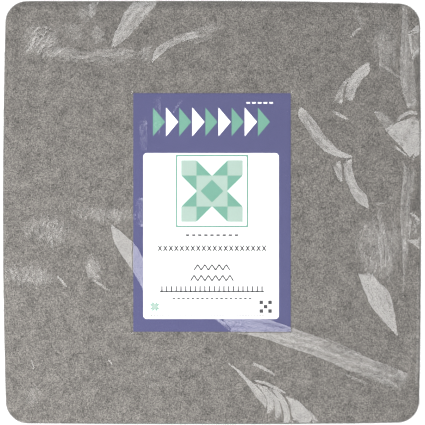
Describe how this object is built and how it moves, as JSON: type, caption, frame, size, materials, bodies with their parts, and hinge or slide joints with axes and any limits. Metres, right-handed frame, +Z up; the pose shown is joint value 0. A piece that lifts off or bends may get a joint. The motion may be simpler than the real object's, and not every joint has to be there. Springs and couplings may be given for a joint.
{
  "type": "wool pressing mat",
  "caption": "Square wool felt pressing mat with round corners, wrapped in clear shrink film over a printed label card.",
  "frame": {"origin": "middle of the underside, where the wrapped mat lies on a table", "axes": "+Z up through the mat's thickness; +Y along its longer side towards the head of the card; +X to the right of the card"},
  "size_m": [0.3526, 0.3578, 0.014],
  "materials": {
    "wool_felt": "matte",
    "card": "satin",
    "clear_film": "gloss"
  },
  "bodies": {
    "root": {"wool_felt_pad": "wool_felt", "label_card": "card", "shrink_film_wrap": "clear_film"}
  },
  "joints": []
}
